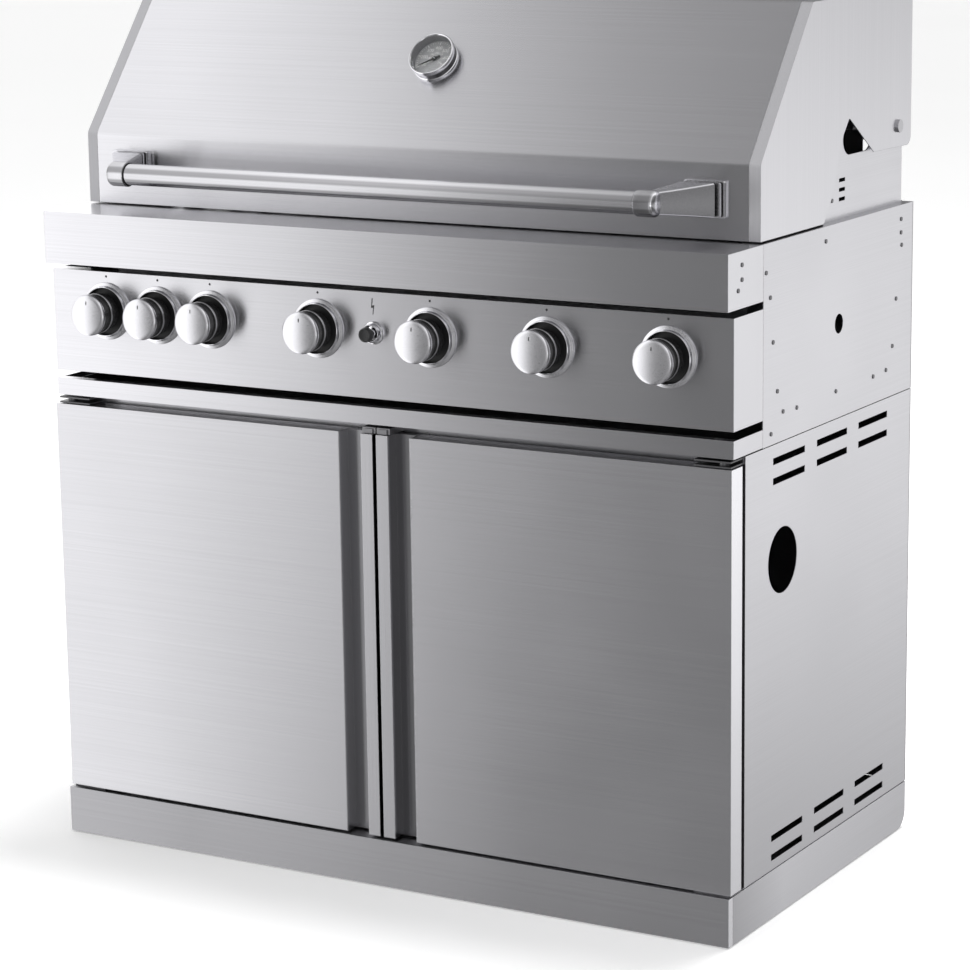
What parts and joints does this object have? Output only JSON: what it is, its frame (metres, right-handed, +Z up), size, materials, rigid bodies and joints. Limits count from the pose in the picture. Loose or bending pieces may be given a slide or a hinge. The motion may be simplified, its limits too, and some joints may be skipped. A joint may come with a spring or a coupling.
{
  "type": "gas barbecue grill",
  "caption": "Free-standing stainless-steel gas barbecue with a hinged hood, front control knobs, a pull-out drip tray and a two-door cabinet.",
  "frame": {"origin": "on the floor, under the centre of the overall box", "axes": "+Z up, +Y towards the back, +X to the right seen from the front"},
  "size_m": [1.082, 0.634, 1.225],
  "materials": {
    "stainless": "satin, brushed along the long way of each sheet",
    "bright": "bright",
    "feet": "matt",
    "black_plastic": "semi-gloss",
    "brass": "machined",
    "pipe": "as drawn",
    "needle": "matt",
    "knob": "satin cap with a dark skirt"
  },
  "bodies": {
    "cabinet_and_head": {"plinth_front": "stainless", "plinth_frame": "stainless", "levelling_feet": "feet", "cabinet_floor": "stainless", "cabinet_side_left": "stainless", "cabinet_side_right": "stainless", "cabinet_back": "stainless", "cabinet_top_rail": "stainless", "hinge_brackets": "stainless", "door_catches": "black_plastic", "head_side_left": "stainless", "head_side_right": "stainless", "head_back": "stainless", "fascia": "stainless", "control_panel": "stainless", "firebox": "stainless", "gas_manifold": "pipe", "valve_bodies": "brass", "knob_bezels": "bright", "igniter_housing": "bright", "burners": "stainless", "rear_burner": "stainless", "flame_tamers": "stainless", "cooking_grates": "stainless", "warming_rack": "stainless", "uprights": "stainless", "hood_rear_panel": "stainless", "side_screws": "stainless"},
    "door_left": {"door_left_panel": "stainless", "door_left_pull": "stainless", "door_left_liner": "stainless"},
    "door_right": {"door_right_panel": "stainless", "door_right_pull": "stainless", "door_right_liner": "stainless"},
    "lid": {"lid_skin": "stainless", "lid_end_left": "stainless", "lid_end_right": "stainless", "lid_liner": "stainless", "handle_tube": "stainless", "handle_brackets": "bright", "thermometer_case": "bright", "pivot_bolts": "stainless"},
    "thermometer_needle": {"thermometer_needle": "needle"},
    "drip_tray": {"drip_tray": "stainless", "drip_tray_front": "stainless"},
    "igniter_button": {"igniter_button": "black_plastic"},
    "valve_plug_1": {"valve_plug_1": "brass"},
    "knob_1": {"knob_1": "knob"},
    "valve_plug_2": {"valve_plug_2": "brass"},
    "knob_2": {"knob_2": "knob"},
    "valve_plug_3": {"valve_plug_3": "brass"},
    "knob_3": {"knob_3": "knob"},
    "valve_plug_4": {"valve_plug_4": "brass"},
    "knob_4": {"knob_4": "knob"},
    "valve_plug_5": {"valve_plug_5": "brass"},
    "knob_5": {"knob_5": "knob"},
    "valve_plug_6": {"valve_plug_6": "brass"},
    "knob_6": {"knob_6": "knob"},
    "valve_plug_7": {"valve_plug_7": "brass"},
    "knob_7": {"knob_7": "knob"}
  },
  "joints": [
    {"name": "lid_hinge", "type": "hinge", "parent": "cabinet_and_head", "child": "lid", "pos_m": [0, 0.269, 1.036], "axis": [-1, 0, 0], "range_deg": [0, 90]},
    {"name": "door_left_hinge", "type": "hinge", "parent": "cabinet_and_head", "child": "door_left", "pos_m": [-0.522, -0.255, 0.36], "axis": [0, 0, -1], "range_deg": [0, 110]},
    {"name": "door_right_hinge", "type": "hinge", "parent": "cabinet_and_head", "child": "door_right", "pos_m": [0.522, -0.255, 0.36], "axis": [0, 0, 1], "range_deg": [0, 110]},
    {"name": "tray_slide", "type": "slide", "parent": "cabinet_and_head", "child": "drip_tray", "axis": [0, -1, 0], "range_m": [0, 0.4]},
    {"name": "knob_turn_1", "type": "hinge", "parent": "cabinet_and_head", "child": "valve_plug_1", "pos_m": [-0.447, -0.223, 0.785], "axis": [0, -1, 0], "range_deg": [0, 225]},
    {"name": "knob_push_1", "type": "slide", "parent": "valve_plug_1", "child": "knob_1", "axis": [0, 1, 0], "range_m": [0, 0.004], "stiffness_N_per_m": 1000, "springref_m": -0.004},
    {"name": "knob_turn_2", "type": "hinge", "parent": "cabinet_and_head", "child": "valve_plug_2", "pos_m": [-0.3576, -0.223, 0.785], "axis": [0, -1, 0], "range_deg": [0, 225]},
    {"name": "knob_push_2", "type": "slide", "parent": "valve_plug_2", "child": "knob_2", "axis": [0, 1, 0], "range_m": [0, 0.004], "stiffness_N_per_m": 1000, "springref_m": -0.004},
    {"name": "knob_turn_3", "type": "hinge", "parent": "cabinet_and_head", "child": "valve_plug_3", "pos_m": [-0.2682, -0.223, 0.785], "axis": [0, -1, 0], "range_deg": [0, 225]},
    {"name": "knob_push_3", "type": "slide", "parent": "valve_plug_3", "child": "knob_3", "axis": [0, 1, 0], "range_m": [0, 0.004], "stiffness_N_per_m": 1000, "springref_m": -0.004},
    {"name": "knob_turn_4", "type": "hinge", "parent": "cabinet_and_head", "child": "valve_plug_4", "pos_m": [-0.0894, -0.223, 0.785], "axis": [0, -1, 0], "range_deg": [0, 225]},
    {"name": "knob_push_4", "type": "slide", "parent": "valve_plug_4", "child": "knob_4", "axis": [0, 1, 0], "range_m": [0, 0.004], "stiffness_N_per_m": 1000, "springref_m": -0.004},
    {"name": "knob_turn_5", "type": "hinge", "parent": "cabinet_and_head", "child": "valve_plug_5", "pos_m": [0.0894, -0.223, 0.785], "axis": [0, -1, 0], "range_deg": [0, 225]},
    {"name": "knob_push_5", "type": "slide", "parent": "valve_plug_5", "child": "knob_5", "axis": [0, 1, 0], "range_m": [0, 0.004], "stiffness_N_per_m": 1000, "springref_m": -0.004},
    {"name": "knob_turn_6", "type": "hinge", "parent": "cabinet_and_head", "child": "valve_plug_6", "pos_m": [0.2682, -0.223, 0.785], "axis": [0, -1, 0], "range_deg": [0, 225]},
    {"name": "knob_push_6", "type": "slide", "parent": "valve_plug_6", "child": "knob_6", "axis": [0, 1, 0], "range_m": [0, 0.004], "stiffness_N_per_m": 1000, "springref_m": -0.004},
    {"name": "knob_turn_7", "type": "hinge", "parent": "cabinet_and_head", "child": "valve_plug_7", "pos_m": [0.447, -0.223, 0.785], "axis": [0, -1, 0], "range_deg": [0, 225]},
    {"name": "knob_push_7", "type": "slide", "parent": "valve_plug_7", "child": "knob_7", "axis": [0, 1, 0], "range_m": [0, 0.004], "stiffness_N_per_m": 1000, "springref_m": -0.004},
    {"name": "igniter_push", "type": "slide", "parent": "cabinet_and_head", "child": "igniter_button", "axis": [0, 1, 0], "range_m": [0, 0.005], "stiffness_N_per_m": 800, "springref_m": -0.004},
    {"name": "needle_turn", "type": "hinge", "parent": "lid", "child": "thermometer_needle", "pos_m": [0, -0.08978, 1.13799], "axis": [0, 0.7801, -0.6257], "range_deg": [0, 240]}
  ]
}
